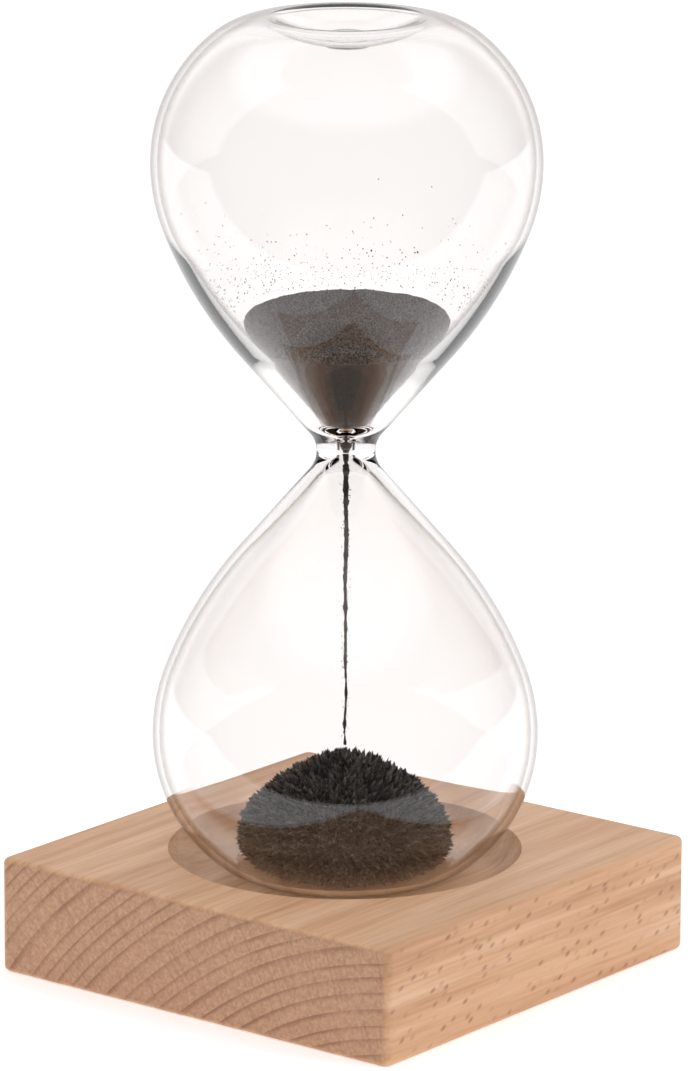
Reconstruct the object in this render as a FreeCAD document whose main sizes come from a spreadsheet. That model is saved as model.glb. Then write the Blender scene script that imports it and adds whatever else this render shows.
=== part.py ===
import FreeCAD, Part
import math
import os
import Sketcher

# A magnetic desk hourglass. A clear blown-glass hourglass holding black iron powder stands in a
# round dished recess of a square beech block. A magnet hidden in the block pulls the fallen
# powder into a bristling mound. Millimetres, Z up, origin under the middle of the block.

SIZES = {
    # block and what is hidden in it
    "block_side": 85.0,
    "block_thickness": 20.5,
    "cover_thickness": 1.0,
    "cover_gap": 0.1,
    "edge_round": 1.0,
    "upright_round": 1.6,
    "recess_depth": 4.4,
    "recess_rim_radius": 30.8,
    "recess_floor_radius": 24.0,
    "magnet_radius": 20.0,
    "magnet_thickness": 12.0,
    "magnet_chamfer": 0.6,
    "magnet_gap": 0.2,
    "adhesive_thickness": 0.8,
    # outside of one bulb, measured from the neck plane towards its closed end
    "bulb_height": 75.3,
    "neck_radius": 5.1,
    "neck_fillet": 5.0,
    "flank_angle": 41.0,
    "shoulder_curve": 72.4,
    "belly_radius": 33.45,
    "belly_height": 50.2,
    "belly_curve": 32.0,
    "haunch_curve": 27.7,
    "heel_curve": 15.0,
    "foot_ring_radius": 13.7,
    "foot_ring_curve": 4.0,
    "punt_curve": 27.0,
    # inside of one bulb
    "glass_wall": 1.2,
    "orifice_radius": 1.1,
    "throat_fillet": 1.5,
    "funnel_angle": 43.0,
    "throat_length": 4.2,
    "lip_round": 0.6,
    "lip_angle": 75.0,
    "bowl_curve": 8.0,
    "bowl_funnel_angle": 43.5,
    "seal_radius": 3.0,
    "seal_crown": 0.7,
    # iron powder
    "powder_gap": 0.25,
    "heap_height": 23.5,
    "heap_dish": 1.2,
    "plug_radius": 0.8,
    "plug_start": 0.3,
    "mound_radius": 19.4,
    "mound_apex": 52.75,
    "stream_top_radius": 0.7,
    "stream_foot_radius": 0.3,
    "stream_overlap_gap": 0.3,
}


def make_sheet(document):
    """Keep the driving dimensions in a spreadsheet, one named cell each."""
    sheet = document.addObject("Spreadsheet::Sheet", "Sizes")
    for row, (name, value) in enumerate(SIZES.items(), start=1):
        sheet.set(f"A{row}", name)
        sheet.set(f"B{row}", str(value))
        sheet.setAlias(f"B{row}", name)
    document.recompute()
    return sheet


def origin_plane(body, role):
    for feature in body.Origin.OriginFeatures:
        if feature.Role == role:
            return feature
    raise ValueError(role)


def make_body(document, label, placement=None):
    body = document.addObject("PartDesign::Body", label)
    body.Label = label
    if placement is not None:
        body.Placement = placement
    return body


def make_sketch(body, name, role="XZ_Plane"):
    sketch = body.newObject("Sketcher::SketchObject", name)
    sketch.AttachmentSupport = [(origin_plane(body, role), "")]
    sketch.MapMode = "FlatFace"
    return sketch


class Outline:
    """A closed outline drawn edge after edge in a sketch, each edge starting where the last ended."""

    def __init__(self, sketch):
        self.sketch = sketch
        self.ends = []

    def line(self, start, end):
        edge = Part.LineSegment(FreeCAD.Vector(*start, 0), FreeCAD.Vector(*end, 0))
        self.sketch.addGeometry(edge, False)
        self.ends.append((1, 2))
        return len(self.ends) - 1

    def arc(self, centre, radius, start_angle, end_angle):
        """Angles in degrees; the edge runs from start_angle to end_angle either way round."""
        low, high = sorted((math.radians(start_angle), math.radians(end_angle)))
        circle = Part.Circle(FreeCAD.Vector(*centre, 0), FreeCAD.Vector(0, 0, 1), radius)
        self.sketch.addGeometry(Part.ArcOfCircle(circle, low, high), False)
        self.ends.append((1, 2) if end_angle > start_angle else (2, 1))
        return len(self.ends) - 1

    def join(self, edge, kind="Coincident"):
        """Join the end of an edge to the start of the next one, Coincident or Tangent."""
        following = (edge + 1) % len(self.ends)
        self.sketch.addConstraint(
            Sketcher.Constraint(kind, edge, self.ends[edge][1], following, self.ends[following][0]))

    def rule(self, *terms):
        self.sketch.addConstraint(Sketcher.Constraint(*terms))

    def size(self, name, expression, *terms):
        """A dimension that follows a cell of the sheet."""
        index = self.sketch.addConstraint(Sketcher.Constraint(*terms))
        self.sketch.renameConstraint(index, name)
        self.sketch.setExpression(f"Constraints.{name}", expression)

    def start(self, edge):
        return edge, self.ends[edge][0]

    def end(self, edge):
        return edge, self.ends[edge][1]


ORIGIN_POINT = (-1, 1)
HORIZONTAL_AXIS = -1
VERTICAL_AXIS = -2
CENTRE = 3


def circles_meet(centre_a, radius_a, centre_b, radius_b, side):
    """One of the two points where two circles cross; side +1 or -1 picks which."""
    gap_x = centre_b[0] - centre_a[0]
    gap_z = centre_b[1] - centre_a[1]
    gap = math.hypot(gap_x, gap_z)
    along = (radius_a ** 2 - radius_b ** 2 + gap ** 2) / (2 * gap)
    across = math.sqrt(radius_a ** 2 - along ** 2)
    return (centre_a[0] + (along * gap_x - side * across * gap_z) / gap,
            centre_a[1] + (along * gap_z + side * across * gap_x) / gap)


def angle_of(centre, point):
    return math.degrees(math.atan2(point[1] - centre[1], point[0] - centre[0]))


def punt_angle(sheet):
    """How far the foot ring rolls over before the hollow punt takes over."""
    reach = sheet.foot_ring_curve + sheet.punt_curve
    return math.degrees(math.asin(sheet.foot_ring_radius / reach))


def punt_depth(sheet):
    reach = sheet.foot_ring_curve + sheet.punt_curve
    return reach * (1 - math.cos(math.radians(punt_angle(sheet))))


def waist_end(mouth, fillet, flank):
    """Where a plain rounded waist passes into the straight flank."""
    slope = math.radians(flank)
    return mouth + fillet * (1 - math.cos(slope)), fillet * math.sin(slope)


def bowl_centre(sheet):
    """Centre of the rounded bottom of the upper hollow, just above its throat."""
    lip = math.radians(sheet.lip_angle)
    reach = sheet.lip_round + sheet.bowl_curve
    return (sheet.orifice_radius + sheet.lip_round - reach * math.cos(lip),
            sheet.throat_length + reach * math.sin(lip))


def bowl_end(sheet):
    """Where the bowl passes into the straight funnel."""
    slope = math.radians(sheet.bowl_funnel_angle)
    centre = bowl_centre(sheet)
    return (centre[0] + sheet.bowl_curve * math.cos(slope),
            centre[1] - sheet.bowl_curve * math.sin(slope))


def bulb_curves(sheet, skin, flank_start, flank):
    """Centres and turning points of one bulb outline, set in by skin from the outside."""
    slope = math.radians(flank)
    radius = {
        "shoulder": sheet.shoulder_curve - skin,
        "belly": sheet.belly_curve - skin,
        "haunch": sheet.haunch_curve - skin,
        "heel": sheet.heel_curve - skin,
    }
    belly = (sheet.belly_radius - sheet.belly_curve, sheet.belly_height)
    heel = (sheet.foot_ring_radius, sheet.bulb_height - sheet.heel_curve)
    haunch = circles_meet(belly, radius["belly"] - radius["haunch"],
                          heel, radius["haunch"] - radius["heel"], -1)
    # The shoulder arc touches the flank line and, from outside, the belly arc.
    offset_x = flank_start[0] - radius["shoulder"] * math.cos(slope) - belly[0]
    offset_z = flank_start[1] + radius["shoulder"] * math.sin(slope) - belly[1]
    half = offset_x * math.sin(slope) + offset_z * math.cos(slope)
    rest = offset_x ** 2 + offset_z ** 2 - (radius["shoulder"] - radius["belly"]) ** 2
    run = -half - math.sqrt(half ** 2 - rest)
    shoulder = (belly[0] + offset_x + run * math.sin(slope),
                belly[1] + offset_z + run * math.cos(slope))
    flank_end = (flank_start[0] + run * math.sin(slope), flank_start[1] + run * math.cos(slope))
    return {"radius": radius, "belly": belly, "heel": heel, "haunch": haunch,
            "shoulder": shoulder, "flank_start": flank_start, "flank_end": flank_end}


def draw_foot(outline, sheet, skin, sign):
    """Foot ring and punt at the closed end; skin is the setback from the outside surface."""
    roll = punt_angle(sheet)
    ring_top = sheet.bulb_height - skin
    ring = (sheet.foot_ring_radius, sheet.bulb_height - sheet.foot_ring_curve)
    apex = ring_top - punt_depth(sheet)
    crest = outline.arc(ring, sheet.foot_ring_curve - skin, 90, 90 + roll)
    centre = (0, apex + sheet.punt_curve + skin)
    punt = outline.arc(centre, sheet.punt_curve + skin, roll - 90, -90)
    outline.size("foot_ring_curve", f"Sizes.foot_ring_curve {sign}", "Radius", crest,
                 sheet.foot_ring_curve - skin)
    punt_sign = sign.replace("-", "+")
    outline.size("punt_curve", f"Sizes.punt_curve {punt_sign}", "Radius", punt,
                 sheet.punt_curve + skin)
    outline.rule("PointOnObject", punt, CENTRE, VERTICAL_AXIS)
    return crest, punt, apex


def draw_waist(outline, sheet, mouth_name, fillet_name, flank_name):
    """From the axis out to the mouth and round a plain waist; returns where the flank starts."""
    mouth = getattr(sheet, mouth_name)
    fillet = getattr(sheet, fillet_name)
    flank = getattr(sheet, flank_name)
    neck_plane = outline.line((0, 0), (mouth, 0))
    neck = outline.arc((mouth + fillet, 0), fillet, 180, 180 - flank)
    outline.join(neck_plane)
    outline.rule("PointOnObject", neck, CENTRE, HORIZONTAL_AXIS)
    outline.size("mouth", f"Sizes.{mouth_name}", "DistanceX", *ORIGIN_POINT,
                 *outline.end(neck_plane), mouth)
    outline.size("neck_fillet", f"Sizes.{fillet_name}", "Radius", neck, fillet)
    return waist_end(mouth, fillet, flank), neck


def draw_throat(outline, sheet):
    """From the axis up a straight throat, over its lip and round the bowl above it."""
    mouth = sheet.orifice_radius
    throat_top = sheet.throat_length
    centre = bowl_centre(sheet)
    neck_plane = outline.line((0, 0), (mouth, 0))
    throat = outline.line((mouth, 0), (mouth, throat_top))
    lip = outline.arc((mouth + sheet.lip_round, throat_top), sheet.lip_round, 180,
                      180 - sheet.lip_angle)
    bowl = outline.arc(centre, sheet.bowl_curve, -sheet.lip_angle, -sheet.bowl_funnel_angle)
    outline.join(neck_plane)
    outline.join(throat, "Tangent")
    outline.join(lip, "Tangent")
    outline.rule("Vertical", throat)
    outline.size("mouth", "Sizes.orifice_radius", "DistanceX", *ORIGIN_POINT,
                 *outline.end(neck_plane), mouth)
    outline.size("throat_length", "Sizes.throat_length", "DistanceY", *ORIGIN_POINT,
                 *outline.end(throat), throat_top)
    outline.size("lip_round", "Sizes.lip_round", "Radius", lip, sheet.lip_round)
    outline.size("bowl_curve", "Sizes.bowl_curve", "Radius", bowl, sheet.bowl_curve)
    outline.rule("DistanceY", *ORIGIN_POINT, bowl, CENTRE, centre[1])
    return bowl_end(sheet), bowl


def draw_bulb(sketch, sheet, skin, draw_mouth, flank_name):
    """Half section of one bulb, outside (skin 0) or inside (skin the glass wall)."""
    flank = getattr(sheet, flank_name)
    sign = "- Sizes.glass_wall" if skin else ""
    outline = Outline(sketch)
    flank_start, neck = draw_mouth(outline)
    neck_plane = 0
    curves = bulb_curves(sheet, skin, flank_start, flank)
    radius = curves["radius"]

    cone = outline.line(curves["flank_start"], curves["flank_end"])
    to_belly = angle_of(curves["shoulder"], curves["belly"])
    to_haunch = angle_of(curves["belly"], curves["haunch"])
    to_heel = angle_of(curves["haunch"], curves["heel"])
    shoulder = outline.arc(curves["shoulder"], radius["shoulder"], -flank, to_belly)
    belly = outline.arc(curves["belly"], radius["belly"], to_belly, to_haunch)
    haunch = outline.arc(curves["haunch"], radius["haunch"], to_haunch, to_heel)
    heel = outline.arc(curves["heel"], radius["heel"], to_heel, 90)
    crest, punt, apex = draw_foot(outline, sheet, skin, sign)
    axis = outline.line((0, apex), (0, 0))

    for edge in (neck, cone, shoulder, belly, haunch, heel, crest):
        outline.join(edge, "Tangent")
    outline.join(punt)
    outline.rule("Coincident", *outline.end(axis), *ORIGIN_POINT)
    outline.rule("Coincident", *outline.start(neck_plane), *ORIGIN_POINT)
    outline.rule("Horizontal", neck_plane)
    outline.rule("Vertical", axis)

    outline.size("flank", f"90 deg - Sizes.{flank_name} * 1 deg", "Angle", cone,
                 math.radians(90 - flank))
    for name, edge in (("shoulder", shoulder), ("belly", belly), ("haunch", haunch), ("heel", heel)):
        outline.size(f"{name}_curve", f"Sizes.{name}_curve {sign}", "Radius", edge, radius[name])
    outline.size("belly_centre_out", "Sizes.belly_radius - Sizes.belly_curve", "DistanceX",
                 *ORIGIN_POINT, belly, CENTRE, curves["belly"][0])
    outline.size("belly_height", "Sizes.belly_height", "DistanceY",
                 *ORIGIN_POINT, belly, CENTRE, curves["belly"][1])
    outline.size("heel_out", "Sizes.foot_ring_radius", "DistanceX",
                 *ORIGIN_POINT, heel, CENTRE, curves["heel"][0])
    outline.size("ring_out", "Sizes.foot_ring_radius", "DistanceX",
                 *ORIGIN_POINT, crest, CENTRE, sheet.foot_ring_radius)
    outline.size("bulb_height", f"Sizes.bulb_height {sign}", "DistanceY",
                 *ORIGIN_POINT, *outline.end(heel), sheet.bulb_height - skin)
    return curves


def revolve(body, sketch, name, cut=False):
    kind = "PartDesign::Groove" if cut else "PartDesign::Revolution"
    feature = body.newObject(kind, name)
    feature.Profile = sketch
    feature.ReferenceAxis = (sketch, ["V_Axis"])
    feature.Angle = 360.0
    return feature


UPRIGHT = FreeCAD.Rotation()
INVERTED = FreeCAD.Rotation(FreeCAD.Vector(1, 0, 0), 180)
# The lower foot ring stands on the floor of the recess.
NECK_HEIGHT = "Sizes.block_thickness - Sizes.recess_depth + Sizes.bulb_height"


def at_neck(body, rotation=UPRIGHT):
    """Stand a body's own origin in the neck of the hourglass."""
    body.Placement = FreeCAD.Placement(FreeCAD.Vector(0, 0, 0), rotation)
    body.setExpression("Placement.Base.z", NECK_HEIGHT)


def draw_outer_waist(outline, sheet):
    return draw_waist(outline, sheet, "neck_radius", "neck_fillet", "flank_angle")


def draw_inner_waist(outline, sheet):
    return draw_waist(outline, sheet, "orifice_radius", "throat_fillet", "funnel_angle")


def make_bulb(document, sheet, label, rotation, is_upper):
    """One thick-necked glass bulb. The upper one has a throat, a bowl and a filling hole."""
    body = make_body(document, label)
    outside = make_sketch(body, label + "_outside")
    draw_bulb(outside, sheet, 0, lambda outline: draw_outer_waist(outline, sheet), "flank_angle")
    revolve(body, outside, label + "_gather")
    inside = make_sketch(body, label + "_inside")
    if is_upper:
        draw_bulb(inside, sheet, sheet.glass_wall, lambda outline: draw_throat(outline, sheet),
                  "bowl_funnel_angle")
    else:
        draw_bulb(inside, sheet, sheet.glass_wall,
                  lambda outline: draw_inner_waist(outline, sheet), "funnel_angle")
    revolve(body, inside, label + "_cavity", cut=True)
    if is_upper:
        hole = make_sketch(body, label + "_fill_hole_sketch")
        outline = Outline(hole)
        low = sheet.bulb_height - 3 * sheet.foot_ring_curve
        high = sheet.bulb_height + sheet.foot_ring_curve
        draw_rectangle(outline, (0, low), (sheet.seal_radius, high))
        outline.size("radius", "Sizes.seal_radius", "DistanceX", *ORIGIN_POINT, *outline.end(0),
                     sheet.seal_radius)
        outline.size("low", "Sizes.bulb_height - 3 * Sizes.foot_ring_curve", "DistanceY",
                     *ORIGIN_POINT, *outline.end(0), low)
        outline.size("high", "Sizes.bulb_height + Sizes.foot_ring_curve", "DistanceY",
                     *ORIGIN_POINT, *outline.end(1), high)
        revolve(body, hole, label + "_fill_hole", cut=True)
    at_neck(body, rotation)
    return body


def draw_rectangle(outline, low, high):
    """A closed rectangle whose left side lies on the turning axis when low starts at x = 0."""
    corners = [low, (high[0], low[1]), high, (low[0], high[1])]
    for index in range(4):
        outline.line(corners[index], corners[(index + 1) % 4])
    for edge in range(4):
        outline.join(edge)
    outline.rule("Horizontal", 0)
    outline.rule("Vertical", 1)
    outline.rule("Horizontal", 2)
    outline.rule("Vertical", 3)
    if low[0] == 0:
        outline.rule("PointOnObject", *outline.start(0), VERTICAL_AXIS)


def make_fill_seal(document, sheet):
    """The button of glass melted into the filling hole at the top once the powder was in."""
    body = make_body(document, "fill_seal")
    sketch = make_sketch(body, "fill_seal_section")
    outline = Outline(sketch)
    apex = sheet.bulb_height - punt_depth(sheet)
    low = apex - sheet.glass_wall
    radius = sheet.seal_radius
    crown = sheet.seal_crown
    dome = (radius ** 2 + crown ** 2) / (2 * crown)
    sweep = math.degrees(math.asin(radius / dome))
    under = outline.arc((0, low - crown + dome), dome, -90, sweep - 90)
    side = outline.line((radius, low), (radius, apex))
    over = outline.arc((0, apex + crown - dome), dome, 90 - sweep, 90)
    axis = outline.line((0, apex + crown), (0, low - crown))
    for edge in (under, side, over, axis):
        outline.join(edge)
    outline.rule("Vertical", side)
    outline.rule("PointOnObject", under, CENTRE, VERTICAL_AXIS)
    outline.rule("PointOnObject", over, CENTRE, VERTICAL_AXIS)
    outline.rule("PointOnObject", *outline.start(under), VERTICAL_AXIS)
    outline.rule("PointOnObject", *outline.end(over), VERTICAL_AXIS)
    outline.rule("Equal", under, over)
    outline.size("radius", "Sizes.seal_radius", "DistanceX", *ORIGIN_POINT, *outline.end(side),
                 radius)
    outline.size("wall", "Sizes.glass_wall", "DistanceY", *outline.start(side),
                 *outline.end(side), sheet.glass_wall)
    outline.size("crown", "Sizes.seal_crown", "DistanceY", *outline.end(side),
                 *outline.end(over), crown)
    outline.rule("DistanceY", *ORIGIN_POINT, *outline.end(side), apex)
    revolve(body, sketch, "fill_seal_button")
    at_neck(body)
    return body


def make_upper_powder(document, sheet):
    """Powder still waiting in the funnel of the upper bulb, with a plug standing in the neck."""
    body = make_body(document, "upper_powder")
    sketch = make_sketch(body, "upper_powder_section")
    outline = Outline(sketch)
    skin = sheet.glass_wall
    gap = sheet.powder_gap
    centre = bowl_centre(sheet)
    bowl_radius = sheet.bowl_curve - gap
    curves = bulb_curves(sheet, skin, bowl_end(sheet), sheet.bowl_funnel_angle)
    slope = math.radians(sheet.bowl_funnel_angle)
    inset_x = gap * math.cos(slope)
    inset_z = gap * math.sin(slope)
    flank_start = (curves["flank_start"][0] - inset_x, curves["flank_start"][1] + inset_z)
    flank_end = (curves["flank_end"][0] - inset_x, curves["flank_end"][1] + inset_z)
    plug_top = centre[1] - math.sqrt(bowl_radius ** 2 - (sheet.plug_radius - centre[0]) ** 2)
    plug_end = (sheet.plug_radius, plug_top)
    wall = curves["radius"]["shoulder"] - gap
    rise = sheet.heap_height - curves["shoulder"][1]
    rim = (curves["shoulder"][0] + math.sqrt(wall ** 2 - rise ** 2), sheet.heap_height)
    dish = sheet.heap_dish
    curve = (rim[0] ** 2 + dish ** 2) / (2 * dish)
    sweep = math.degrees(math.asin(rim[0] / curve))

    foot = outline.line((0, sheet.plug_start), (sheet.plug_radius, sheet.plug_start))
    plug = outline.line((sheet.plug_radius, sheet.plug_start), plug_end)
    bowl = outline.arc(centre, bowl_radius, angle_of(centre, plug_end), -sheet.bowl_funnel_angle)
    flank = outline.line(flank_start, flank_end)
    shoulder = outline.arc(curves["shoulder"], wall, -sheet.bowl_funnel_angle,
                           angle_of(curves["shoulder"], rim))
    surface = outline.arc((0, rim[1] - dish + curve), curve, sweep - 90, -90)
    axis = outline.line((0, rim[1] - dish), (0, sheet.plug_start))
    for edge in (foot, plug, shoulder, surface, axis):
        outline.join(edge)
    outline.join(bowl, "Tangent")
    outline.join(flank, "Tangent")
    outline.rule("Horizontal", foot)
    outline.rule("Vertical", plug)
    outline.rule("Vertical", axis)
    outline.rule("PointOnObject", *outline.start(foot), VERTICAL_AXIS)
    outline.rule("PointOnObject", surface, CENTRE, VERTICAL_AXIS)
    outline.size("plug_start", "Sizes.plug_start", "DistanceY", *ORIGIN_POINT,
                 *outline.end(foot), sheet.plug_start)
    outline.size("plug_radius", "Sizes.plug_radius", "DistanceX", *ORIGIN_POINT,
                 *outline.end(foot), sheet.plug_radius)
    outline.size("bowl_curve", "Sizes.bowl_curve - Sizes.powder_gap", "Radius", bowl, bowl_radius)
    outline.size("shoulder_curve", "Sizes.shoulder_curve - Sizes.glass_wall - Sizes.powder_gap",
                 "Radius", shoulder, wall)
    outline.size("heap_height", "Sizes.heap_height", "DistanceY", *ORIGIN_POINT,
                 *outline.end(shoulder), sheet.heap_height)
    outline.size("heap_dish", "Sizes.heap_dish", "DistanceY", *outline.end(surface),
                 *outline.end(shoulder), dish)
    outline.rule("DistanceX", *ORIGIN_POINT, bowl, CENTRE, centre[0])
    outline.rule("DistanceY", *ORIGIN_POINT, bowl, CENTRE, centre[1])
    outline.rule("DistanceX", *ORIGIN_POINT, shoulder, CENTRE, curves["shoulder"][0])
    outline.rule("DistanceY", *ORIGIN_POINT, shoulder, CENTRE, curves["shoulder"][1])
    revolve(body, sketch, "upper_powder_heap")
    at_neck(body)
    return body


def make_powder_mound(document, sheet):
    """The mound the magnet draws up, resting on the inside of the lower bulb's punt."""
    body = make_body(document, "powder_mound")
    sketch = make_sketch(body, "powder_mound_section")
    outline = Outline(sketch)
    skin = sheet.glass_wall + sheet.powder_gap
    sign = "- Sizes.glass_wall - Sizes.powder_gap"
    dome_radius = sheet.mound_radius
    dome = (0, sheet.mound_apex + dome_radius)
    heel = (sheet.foot_ring_radius, sheet.bulb_height - sheet.heel_curve)
    heel_radius = sheet.heel_curve - skin
    meet = circles_meet(dome, dome_radius, heel, heel_radius, 1)

    side = outline.arc(dome, dome_radius, -90, angle_of(dome, meet))
    floor = outline.arc(heel, heel_radius, angle_of(heel, meet), 90)
    crest, punt, apex = draw_foot(outline, sheet, skin, sign)
    axis = outline.line((0, apex), (0, sheet.mound_apex))
    for edge in (side, punt, axis):
        outline.join(edge)
    outline.join(floor, "Tangent")
    outline.join(crest, "Tangent")
    outline.rule("Vertical", axis)
    outline.rule("PointOnObject", side, CENTRE, VERTICAL_AXIS)
    outline.rule("PointOnObject", *outline.start(side), VERTICAL_AXIS)
    outline.size("mound_radius", "Sizes.mound_radius", "Radius", side, dome_radius)
    outline.size("mound_apex", "Sizes.mound_apex", "DistanceY", *ORIGIN_POINT,
                 *outline.start(side), sheet.mound_apex)
    outline.size("heel_curve", f"Sizes.heel_curve {sign}", "Radius", floor, heel_radius)
    outline.size("heel_out", "Sizes.foot_ring_radius", "DistanceX",
                 *ORIGIN_POINT, floor, CENTRE, heel[0])
    outline.size("ring_out", "Sizes.foot_ring_radius", "DistanceX",
                 *ORIGIN_POINT, crest, CENTRE, sheet.foot_ring_radius)
    outline.size("floor_height", f"Sizes.bulb_height {sign}", "DistanceY",
                 *ORIGIN_POINT, *outline.end(floor), sheet.bulb_height - skin)
    revolve(body, sketch, "powder_mound_dome")
    at_neck(body, INVERTED)
    return body


def make_powder_stream(document, sheet):
    """The thread of powder falling from the neck to the mound."""
    stream = document.addObject("Part::Cone", "powder_stream")
    stream.Label = "powder_stream"
    fall = "Sizes.mound_apex - Sizes.stream_overlap_gap"
    stream.setExpression("Radius1", "Sizes.stream_foot_radius")
    stream.setExpression("Radius2", "Sizes.stream_top_radius")
    stream.setExpression("Height", fall)
    stream.setExpression("Placement.Base.z", f"{NECK_HEIGHT} - ({fall})")
    return stream


def make_wooden_base(document, sheet):
    """Square block with softened edges, a dished recess above and a magnet pocket below."""
    body = make_body(document, "wooden_base")
    square = make_sketch(body, "block_square", "XY_Plane")
    outline = Outline(square)
    half = sheet.block_side / 2
    draw_rectangle(outline, (-half, -half), (half, half))
    outline.rule("Symmetric", *outline.start(0), *outline.start(2), *ORIGIN_POINT)
    for name, kind, edge in (("width", "DistanceX", 0), ("depth", "DistanceY", 1)):
        outline.size(name, "Sizes.block_side", kind, *outline.start(edge), *outline.end(edge),
                     sheet.block_side)
    block = body.newObject("PartDesign::Pad", "block")
    block.Profile = square
    block.setExpression("Length", "Sizes.block_thickness")
    document.recompute()

    upright = body.newObject("PartDesign::Fillet", "upright_edges")
    upright.Base = (block, edge_names(block, is_upright))
    upright.setExpression("Radius", "Sizes.upright_round")
    document.recompute()
    rims = body.newObject("PartDesign::Fillet", "top_and_bottom_edges")
    rims.Base = (upright, edge_names(upright, is_level))
    rims.setExpression("Radius", "Sizes.edge_round")
    document.recompute()

    dish = make_sketch(body, "recess_section")
    draw_recess(Outline(dish), sheet)
    revolve(body, dish, "recess", cut=True)

    pocket_sketch = make_sketch(body, "magnet_pocket_circle", "XY_Plane")
    pocket_radius = sheet.magnet_radius + sheet.magnet_gap
    circle = Part.Circle(FreeCAD.Vector(0, 0, 0), FreeCAD.Vector(0, 0, 1), pocket_radius)
    pocket_sketch.addGeometry(circle, False)
    pocket_sketch.addConstraint(Sketcher.Constraint("Coincident", 0, CENTRE, *ORIGIN_POINT))
    ring = pocket_sketch.addConstraint(Sketcher.Constraint("Radius", 0, pocket_radius))
    pocket_sketch.renameConstraint(ring, "pocket_radius")
    pocket_sketch.setExpression("Constraints.pocket_radius",
                                "Sizes.magnet_radius + Sizes.magnet_gap")
    pocket = body.newObject("PartDesign::Pocket", "magnet_pocket")
    pocket.Profile = pocket_sketch
    pocket.Reversed = True
    pocket.setExpression("Length", POCKET_DEPTH)
    return body


MAGNET_START = "Sizes.cover_thickness + Sizes.magnet_gap"
ADHESIVE_START = f"{MAGNET_START} + Sizes.magnet_thickness"
POCKET_DEPTH = f"{ADHESIVE_START} + Sizes.adhesive_thickness"


def edge_names(feature, wanted):
    return [f"Edge{number}" for number, edge in enumerate(feature.Shape.Edges, start=1)
            if wanted(edge)]


def is_upright(edge):
    direction = edge.Vertexes[-1].Point - edge.Vertexes[0].Point
    return abs(direction.z) > 1 and math.hypot(direction.x, direction.y) < 1e-6


def is_level(edge):
    return edge.BoundBox.ZLength < 1e-6


def draw_recess(outline, sheet):
    """Flat floor, a cove rising from it, and a crisp rim at the top face."""
    top = sheet.block_thickness
    floor = top - sheet.recess_depth
    across = sheet.recess_rim_radius - sheet.recess_floor_radius
    cove = (across ** 2 + sheet.recess_depth ** 2) / (2 * sheet.recess_depth)
    sweep = math.degrees(math.asin(across / cove))
    base = outline.line((0, floor), (sheet.recess_floor_radius, floor))
    curve = outline.arc((sheet.recess_floor_radius, floor + cove), cove, -90, sweep - 90)
    rim = outline.line((sheet.recess_rim_radius, top), (sheet.recess_rim_radius, top + 1))
    lid = outline.line((sheet.recess_rim_radius, top + 1), (0, top + 1))
    axis = outline.line((0, top + 1), (0, floor))
    outline.join(base, "Tangent")
    for edge in (curve, rim, lid, axis):
        outline.join(edge)
    outline.rule("Horizontal", base)
    outline.rule("Vertical", rim)
    outline.rule("Horizontal", lid)
    outline.rule("Vertical", axis)
    outline.rule("PointOnObject", *outline.start(base), VERTICAL_AXIS)
    outline.size("floor_radius", "Sizes.recess_floor_radius", "DistanceX", *ORIGIN_POINT,
                 *outline.end(base), sheet.recess_floor_radius)
    outline.size("rim_radius", "Sizes.recess_rim_radius", "DistanceX", *ORIGIN_POINT,
                 *outline.end(curve), sheet.recess_rim_radius)
    outline.size("floor_height", "Sizes.block_thickness - Sizes.recess_depth", "DistanceY",
                 *ORIGIN_POINT, *outline.end(base), floor)
    outline.size("rim_height", "Sizes.block_thickness", "DistanceY", *ORIGIN_POINT,
                 *outline.end(curve), top)
    outline.size("lid_height", "Sizes.block_thickness + 1", "DistanceY", *ORIGIN_POINT,
                 *outline.end(rim), top + 1)


def make_disc(document, label, radius, thickness, start):
    """A flat disc in the magnet pocket; all three sizes are expressions over the sheet."""
    disc = document.addObject("Part::Cylinder", label)
    disc.Label = label
    disc.setExpression("Radius", radius)
    disc.setExpression("Height", thickness)
    disc.setExpression("Placement.Base.z", start)
    return disc


def make_magnet(document, sheet):
    body = make_body(document, "magnet")
    sketch = make_sketch(body, "magnet_circle", "XY_Plane")
    radius = sheet.magnet_radius
    sketch.addGeometry(Part.Circle(FreeCAD.Vector(), FreeCAD.Vector(0, 0, 1), radius), False)
    sketch.addConstraint(Sketcher.Constraint("Coincident", 0, CENTRE, *ORIGIN_POINT))
    ring = sketch.addConstraint(Sketcher.Constraint("Radius", 0, radius))
    sketch.renameConstraint(ring, "magnet_radius")
    sketch.setExpression("Constraints.magnet_radius", "Sizes.magnet_radius")
    disc = body.newObject("PartDesign::Pad", "magnet_disc")
    disc.Profile = sketch
    disc.setExpression("Length", "Sizes.magnet_thickness")
    document.recompute()
    bevel = body.newObject("PartDesign::Chamfer", "magnet_bevel")
    bevel.Base = (disc, edge_names(disc, is_level))
    bevel.setExpression("Size", "Sizes.magnet_chamfer")
    body.setExpression("Placement.Base.z", MAGNET_START)
    return body


def check(document, parts):
    """Stop if anything in the document failed to build or a sub-part is not one good solid."""
    for item in document.Objects:
        state = " ".join(item.State)
        if "Invalid" in state or "Error" in state:
            raise RuntimeError(f"{item.Name}: {state}")
    for part in parts:
        shape = part.Shape
        if shape.isNull() or not shape.isValid() or len(shape.Solids) != 1:
            raise RuntimeError(f"{part.Label} is not one valid solid")
        box = shape.optimalBoundingBox()
        print(f"{part.Label:16s} {shape.Volume:10.1f} mm3  z {box.ZMin:7.2f} to {box.ZMax:7.2f}"
              f"  x {box.XMin:7.2f} to {box.XMax:7.2f}")


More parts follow.
